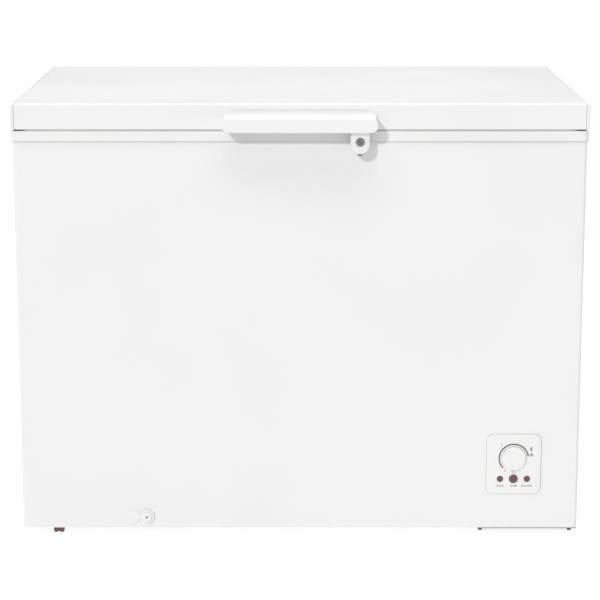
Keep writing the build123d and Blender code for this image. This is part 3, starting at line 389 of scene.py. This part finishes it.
# %% Finishes for the nodes
dressing = {
    enamel: ["front_panel", "side_panel_left", "side_panel_right", "lid_outer_skin"],
    handle_plastic: ["handle_bar"],
    white_plastic: ["lid_end_cap_left", "lid_end_cap_right", "lid_inner_panel", "lock_housing",
                    "control_panel", "thermostat_knob", "drain_rosette", "drain_spout",
                    "side_grille"],
    collar_plastic: ["top_collar"],
    wire_coat: ["basket_grids_long", "basket_grids_short", "basket_floor"],
    seal_rubber: ["lid_gasket", "drain_plug"],
    hose_plastic: ["drain_tube"],
    black_enamel: ["compressor_bracket", "compressor_shell_lower",
                   "compressor_shell_upper"],
    black_plastic: ["relay_cover", "thermostat_body", "cord_gland"],
    foot_plastic: ["feet", "tray_studs"],
    black_rubber: ["compressor_grommets"],
    lens_plastic: ["indicator_lenses"],
    board_green: ["indicator_board"],
    stucco: ["inner_liner"],
    tray_steel: ["compressor_tray"],
    galvanised: ["rear_panel", "bottom_panel", "rear_cover", "lock_keeper"],
    zinc_plate: ["hinge_bases", "hinge_arms", "hinge_pins", "hinge_springs", "hinge_screws",
                 "hinge_arm_screws", "rear_cover_screws", "handle_screws", "compressor_bolts",
                 "thermostat_shaft"],
    lock_metal: ["lock_barrel", "lock_cam"],
    copper: ["evaporator_coil", "suction_pipe", "discharge_pipe", "filter_drier", "capillary_tube",
             "sensing_tube"],
    dark_steel: ["condenser_coil"],
    foam_finish: ["insulation_foam", "lid_foam"],
}
for finish, members in dressing.items():
    for node in members:
        for place in nodes[node].material_slots:
            place.material = finish
undressed = set(nodes) - {node for members in dressing.values() for node in members}
print("nodes with no finish:", sorted(undressed))

# %% [markdown]
# ## Printed marks on the control plate
# The plate is screen printed: a curved scale round the knob, a few figures and plain legends. Ink is
# a tenth of a millimetre thick, so each mark is a thin solid standing on the plate. The curved scale
# starts as one short bar that is spun round the knob's axis.

# %% Curved scale
plate_low, plate_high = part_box("control_panel")
knob_low, knob_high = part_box("thermostat_knob")
plate_y = plate_low.y
knob_x, knob_z = middle("thermostat_knob").x, middle("thermostat_knob").z
ink = 0.12 * MM
scale_radius = 28.7 * MM
scale_width = 2.6 * MM
scale_start = radians(223)
scale_sweep = radians(214)


def on_dial(radius, angle):
    """A point on the plate, by its distance from the knob's axis and its angle."""
    return Vector((knob_x + radius * cos(angle), plate_y - ink / 2, knob_z + radius * sin(angle)))


def end_join(parts, name):
    """Joins parts into one piece with its place in its mesh."""
    bpy.ops.object.select_all(action="DESELECT")
    for part in parts:
        part.select_set(True)
    bpy.context.view_layer.objects.active = parts[0]
    bpy.ops.object.join()
    return settle(parts[0], name)


bpy.ops.mesh.primitive_cube_add(size=1, location=on_dial(scale_radius, scale_start))
dial_scale = bpy.context.active_object
dial_scale.scale = (scale_width, ink, 0.05 * MM)
dial_scale.rotation_euler = (0, -scale_start, 0)
settle(dial_scale, "dial_scale")
start_edit(dial_scale)
along = Vector((-sin(scale_start), 0, cos(scale_start)))
select_faces(dial_scale, lambda centre, normal: normal.dot(along) > 0.9)
bpy.ops.mesh.spin(steps=72, angle=scale_sweep, center=(knob_x, plate_y, knob_z), axis=(0, -1, 0))
close_up(0.00001)
dress(dial_scale, print_ink, "cabinet")
reach = [max(corner.co[i] for corner in dial_scale.data.vertices) for i in (0, 2)]
print("scale reaches right to", round(reach[0] - knob_x, 4), "and up to", round(reach[1] - knob_z, 4))

# %% [markdown]
# Two fine dark lines frame the controls, both painted shade: a grey ring for the shadow gap round the
# knob and a grey strip on the sheet for the shadow line round the plate. The plate's line is a rounded
# outline, inset to a narrow frame and given its height; the knob's line is a short bar spun once
# round.

# %% Painted shadow lines round the plate and the knob
sheet_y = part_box("front_panel")[0].y
seam_width = 0.9 * MM
plate_corner = 13.5 * MM
plate_line = 2.2 * MM
plate_line_proud = 0.5 * MM
plate_line_off = 0.02 * MM
knob_line_gap = 0.7 * MM


def plate_shadow_line():
    """Narrow grey frame on the front sheet round the plate, painted shade for its shadow line."""
    size_x, size_z = plate_high.x - plate_low.x, plate_high.z - plate_low.z
    bpy.ops.mesh.primitive_plane_add(size=1, rotation=(radians(90), 0, 0), location=(
        (plate_low.x + plate_high.x) / 2, sheet_y - plate_line_off, (plate_low.z + plate_high.z) / 2))
    frame_line = bpy.context.active_object
    frame_line.scale = (size_x + 2 * seam_width, size_z + 2 * seam_width, 1)
    settle(frame_line, "plate_shadow_line")
    start_edit(frame_line)
    bpy.ops.mesh.select_all(action="SELECT")
    bpy.ops.mesh.bevel(offset=plate_corner, segments=10, affect="VERTICES")
    bpy.ops.mesh.inset(thickness=plate_line)
    bpy.ops.mesh.delete(type="FACE")
    bpy.ops.mesh.select_all(action="SELECT")
    bpy.ops.mesh.extrude_region_move(TRANSFORM_OT_translate={"value": (0, -plate_line_proud, 0)})
    bpy.ops.mesh.select_all(action="SELECT")
    bpy.ops.mesh.normals_make_consistent(inside=False)
    end_edit()
    return dress(frame_line, gap_shade_grey, "cabinet")


def knob_shadow_ring():
    """Fine grey ring just outside the knob, painted shade for the shadow gap round it."""
    radius = (knob_high.x - knob_low.x) / 2 + knob_line_gap
    bpy.ops.mesh.primitive_cube_add(size=1, location=on_dial(radius, 0))
    ring = bpy.context.active_object
    ring.scale = (seam_width, ink, 0.05 * MM)
    settle(ring, "knob_shadow_ring")
    start_edit(ring)
    select_faces(ring, lambda centre, normal: normal.z > 0.9)
    bpy.ops.mesh.spin(steps=80, angle=2 * pi, center=(knob_x, plate_y, knob_z), axis=(0, 1, 0))
    close_up(0.00003)
    return dress(ring, gap_shade_grey, "cabinet")


print("seams:", plate_shadow_line().name, knob_shadow_ring().name)

# %% [markdown]
# Figures are text turned into meshes and given the ink's thickness; a bolder one marks the coldest
# end. The cold mark is six bars round a centre, and OFF is a small ring.

# %% Figures and signs


def figure(text, x, z, size, bold, name, finish):
    """One printed figure, centred at a point on the plate."""
    bpy.ops.object.text_add(location=(0, 0, 0))
    mark = bpy.context.active_object
    mark.data.body = text
    mark.data.size = size
    mark.data.extrude = ink / 2
    mark.data.offset = bold
    mark.data.align_x = "CENTER"
    mark.data.align_y = "CENTER"
    bpy.ops.object.convert(target="MESH")
    mark = bpy.context.active_object
    mark.location = (x, plate_y - ink / 2, z)
    mark.rotation_euler = (radians(90), 0, 0)
    return dress(settle(mark, name), finish, "cabinet")


def bar(x, z, length, thick, turn=0.0):
    """A thin printed bar with chamfered corners, centred at a point on the plate."""
    bpy.ops.mesh.primitive_cube_add(size=1, location=(x, plate_y - ink / 2, z))
    strip = bpy.context.active_object
    strip.scale = (length, ink, thick)
    strip.rotation_euler = (0, turn, 0)
    settle(strip, "bar")
    start_edit(strip)
    select_edges(strip, lambda a, b: abs(a.y - b.y) > ink / 2)
    bpy.ops.mesh.bevel(offset=thick * 0.35, segments=2)
    end_edit()
    return strip


figure("1", knob_x - 17.5 * MM, knob_z - 25 * MM, 7.5 * MM, 0.12 * MM, "dial_figure_low", print_ink)
figure("3", knob_x - 24.5 * MM, knob_z + 27 * MM, 8.0 * MM, 0.1 * MM, "dial_figure_middle", grey_ink)
figure("5", knob_x + 34 * MM, knob_z + 18.5 * MM, 9.5 * MM, 0.35 * MM, "dial_figure_high", print_ink)

cold_x, cold_z = knob_x + 34.5 * MM, knob_z + 7 * MM
arm_length, arm_thick = 7.8 * MM, 0.9 * MM
twig_length, twig_thick, twig_reach = 1.9 * MM, 0.7 * MM, 2.5 * MM
arms = []
for turn in (0, 60, 120):
    arms.append(bar(cold_x, cold_z, arm_length, arm_thick, radians(turn + 90)))
for turn in range(30, 390, 60):
    tip = Vector((cos(radians(turn)), 0, sin(radians(turn)))) * twig_reach
    for lean in (-45, 45):
        arms.append(bar(cold_x + tip.x, cold_z + tip.z, twig_length, twig_thick,
                        radians(-turn + lean)))
dress(end_join(arms, "cold_mark"), grey_ink, "cabinet")

off_z = knob_z - 27.5 * MM
off_radius, off_line = 2.8 * MM, 1.1 * MM
bpy.ops.mesh.primitive_cube_add(size=1, location=(knob_x + off_radius, plate_y - ink / 2, off_z))
off_ring = bpy.context.active_object
off_ring.scale = (off_line, ink, 0.02 * MM)
settle(off_ring, "off_ring")
start_edit(off_ring)
select_faces(off_ring, lambda centre, normal: normal.z > 0.9)
bpy.ops.mesh.spin(steps=32, angle=2 * pi, center=(knob_x, plate_y, off_z), axis=(0, 1, 0))
close_up(0.00003)
dress(off_ring, grey_ink, "cabinet")

# %% [markdown]
# Each lamp has a legend below it. Here the legends are plain rows of short dashes, which say nothing
# and belong to no maker.

# %% Legends under the lamps
lens_low, lens_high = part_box("indicator_lenses")
lamp_z = middle("indicator_lenses").z
lamp_radius = 6.2 * MM
lamp_pitch = (lens_high.x - lens_low.x) / 2 - lamp_radius
lamps = {"left": (knob_x - lamp_pitch, lamp_radius), "middle": (knob_x, 8.7 * MM),
         "right": (knob_x + lamp_pitch, lamp_radius)}
legend_z = lamp_z - 14.4 * MM
dash_short, dash_longer, dash_tall = 3.9, 0.6, 2.6
legend_dashes = {"left": (-5.2, 0.4, 5.4), "middle": (-4.4, 1.2, 5.0), "right": (-9.0, -3.4, 2.6, 8.0)}
for side, dashes in legend_dashes.items():
    row = [bar(lamps[side][0] + dash * MM, legend_z, (dash_short + dash_longer * (i % 2)) * MM,
               dash_tall * MM) for i, dash in enumerate(dashes)]
    dress(end_join(row, f"lamp_legend_{side}"), grey_ink, "cabinet")
print("legend height above the floor:", round(legend_z, 4))

# %% [markdown]
# ## Lamp bezels
# A moulded rim frames each lens. Its rounded section is a small circle, flattened and spun once
# round the lens; the same steps make all three rims, at two sizes.

# %% Bezels
rim_reach = 0.9 * MM


def bezel(side):
    """Rim round one lens."""
    x, radius = lamps[side]
    bpy.ops.mesh.primitive_circle_add(vertices=10, radius=rim_reach,
                                      location=(x + radius + rim_reach, plate_y, lamp_z))
    rim = bpy.context.active_object
    rim.scale = (1.0, 0.75, 1.0)
    settle(rim, f"lamp_bezel_{side}")
    start_edit(rim)
    bpy.ops.mesh.select_all(action="SELECT")
    bpy.ops.mesh.spin(steps=40, angle=2 * pi, center=(x, plate_y, lamp_z), axis=(0, 1, 0))
    close_up(0.00002)
    return dress(settle(rim, rim.name, smooth=50), white_plastic, "cabinet")


print("bezels:", [bezel(side).name for side in lamps])

# %% [markdown]
# ## The lid's seal
# The frame holds the seal as a plain square ring. The real one is an extrusion: a magnet tube below,
# a soft bellows above it and a root pressed into the inner panel. Its section is drawn once on a
# circle's points, carried along each side by extrusion and round each corner by a spin.

# %% Bellows seal
skin_low, skin_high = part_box("lid_outer_skin")
collar_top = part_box("top_collar")[1].z
seal_inset = 1.0 * MM
# distance in from the lid's front face in millimetres, height as a share of the gap over the collar
section = [(2.0, 0.10), (1.2, 0.24), (1.8, 0.42), (3.0, 0.48), (1.8, 0.54), (1.2, 0.74), (2.2, 0.92),
           (8.0, 0.97), (16.0, 0.97), (27.0, 0.97), (28.0, 0.7), (26.6, 0.48), (28.0, 0.27),
           (26.4, 0.06), (12.0, 0.05), (6.0, 0.05)]
gap = skin_low.z - collar_top
corner = 31.0 * MM
half_x = skin_high.x - seal_inset
side_x = 2 * (half_x - corner)
side_y = (skin_high.y - skin_low.y) - 2 * corner
bpy.ops.mesh.primitive_circle_add(vertices=len(section), radius=0.01, location=(0, 0, 0))
seal = bpy.context.active_object
for point, (inward, up) in zip(seal.data.vertices, section):
    point.co = (-half_x + corner, skin_low.y + inward * MM, collar_top + up * gap)
start_edit(seal)
bpy.ops.mesh.select_all(action="SELECT")
runs = [((side_x, 0, 0), (1, -1)), ((0, side_y, 0), (1, 1)), ((-side_x, 0, 0), (-1, 1)),
        ((0, -side_y, 0), (-1, -1))]
middle_y = (skin_low.y + skin_high.y) / 2
for move, (sx, sy) in runs:
    bpy.ops.mesh.extrude_region_move(TRANSFORM_OT_translate={"value": move})
    bpy.ops.mesh.spin(steps=8, angle=-pi / 2, axis=(0, 0, 1),
                      center=(sx * side_x / 2, middle_y + sy * side_y / 2, 0))
close_up(0.00002)
settle(seal, "bellows_seal", smooth=60)
dress(seal, seal_rubber, "lid")
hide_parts("lid_gasket")
reach = [[round(f(v.co[i] for v in seal.data.vertices), 4) for i in range(3)] for f in (min, max)]
print("seal from", reach[0], "to", reach[1], "faces", len(seal.data.polygons))

# %% [markdown]
# ## The lid's ends
# A moulded cap closes each end of the folded lid sheet, on a thin foam gasket that stays a little
# below the surface; the gasket's dark grey is painted shade for the seam's shadow gap, and reads as a
# fine grey line. Cap and gasket both start as a cube; the cap's long edges get the sheet's radius and
# its outer edges a smaller one.

# %% Caps and their gaskets
# Dark grey painted shade for the shadow gap of the seams at the lid's ends.
seam_gap_shade = painted("seam_gap_shade", (0.34, 0.34, 0.34), (0.42, 0.42, 0.41), (0.7, 0.85), peel=900.0)
gasket_thick = 1.1 * MM
gasket_sunk = 0.35 * MM
sheet_radius = 3.0 * MM
outer_round = 1.8 * MM


def lid_end(side, name, x_span, sunk, finish):
    """A block across the lid's end with its two long top edges rounded."""
    low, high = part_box(f"lid_end_cap_{side}")
    bpy.ops.mesh.primitive_cube_add(size=1, location=(
        sum(x_span) / 2, (low.y + high.y) / 2, (low.z + high.z) / 2))
    block = bpy.context.active_object
    block.scale = (x_span[1] - x_span[0], high.y - low.y - 2 * sunk, high.z - low.z - 2 * sunk)
    settle(block, name)
    start_edit(block)
    crest = high.z - sunk - 0.01 * MM
    select_edges(block, lambda a, b: min(a.z, b.z) > crest and abs(a.y - b.y) < MM)
    bpy.ops.mesh.bevel(offset=sheet_radius - sunk, segments=8)
    end_edit()
    dress(block, finish, "lid")
    return block


def lid_cap(side):
    """Moulded cap, rounded all round its outer face."""
    low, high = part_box(f"lid_end_cap_{side}")
    out = 1 if side == "right" else -1
    inner, outer = (low.x, high.x) if out > 0 else (high.x, low.x)
    seat = inner + out * gasket_thick
    cap = lid_end(side, f"end_cap_{side}", sorted((seat, outer)), 0, white_plastic)
    start_edit(cap)
    select_edges(cap, lambda a, b: min(a.x * out, b.x * out) > outer * out - 0.01 * MM)
    bpy.ops.mesh.bevel(offset=outer_round, segments=5)
    end_edit()
    settle(cap, cap.name, smooth=35)
    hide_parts(f"lid_end_cap_{side}")
    gasket = lid_end(side, f"cap_shade_gasket_{side}", sorted((inner, seat)), gasket_sunk, seam_gap_shade)
    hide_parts(f"lid_end_cap_{side}")
    return cap


print("caps:", [(cap.name, len(cap.data.polygons)) for cap in (lid_cap("left"), lid_cap("right"))])

# %% [markdown]
# ## The bead under the collar
# A thin grey bead closes the joint between the collar's skirt and the cabinet's sheets; its grey is
# painted shade for the shadow line under the collar. It is an outline of the cabinet with rounded
# corners, inset to a narrow ring and given its height.

# %% Shade bead under the collar
bead_proud = 1.3 * MM
bead_tall = 1.3 * MM
bead_corner = 7.0 * MM
bead_behind = 0.3 * MM
collar_skirt = 19.8 * MM
skirt_z = collar_top - collar_skirt
left_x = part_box("side_panel_left")[0].x
right_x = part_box("side_panel_right")[1].x
back_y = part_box("rear_panel")[1].y
bead_size = (right_x - left_x + 2 * bead_proud, back_y - sheet_y + 2 * bead_proud)
bpy.ops.mesh.primitive_plane_add(size=1, location=(
    (right_x + left_x) / 2, (back_y + sheet_y) / 2, skirt_z - bead_tall))
bead = bpy.context.active_object
bead.scale = (*bead_size, 1)
settle(bead, "collar_shade_bead")
start_edit(bead)
bpy.ops.mesh.select_all(action="SELECT")
bpy.ops.mesh.bevel(offset=bead_corner, segments=8, affect="VERTICES")
bpy.ops.mesh.inset(thickness=bead_proud + bead_behind)
bpy.ops.mesh.delete(type="FACE")
bpy.ops.mesh.select_all(action="SELECT")
bpy.ops.mesh.extrude_region_move(TRANSFORM_OT_translate={"value": (0, 0, bead_tall)})
bpy.ops.mesh.select_all(action="SELECT")
bpy.ops.mesh.normals_make_consistent(inside=False)
end_edit()
# The bead's grey is painted shade for the shadow line under the collar.
dress(bead, gap_shade_grey, "cabinet")
print("bead under the collar at", round(skirt_z, 4))
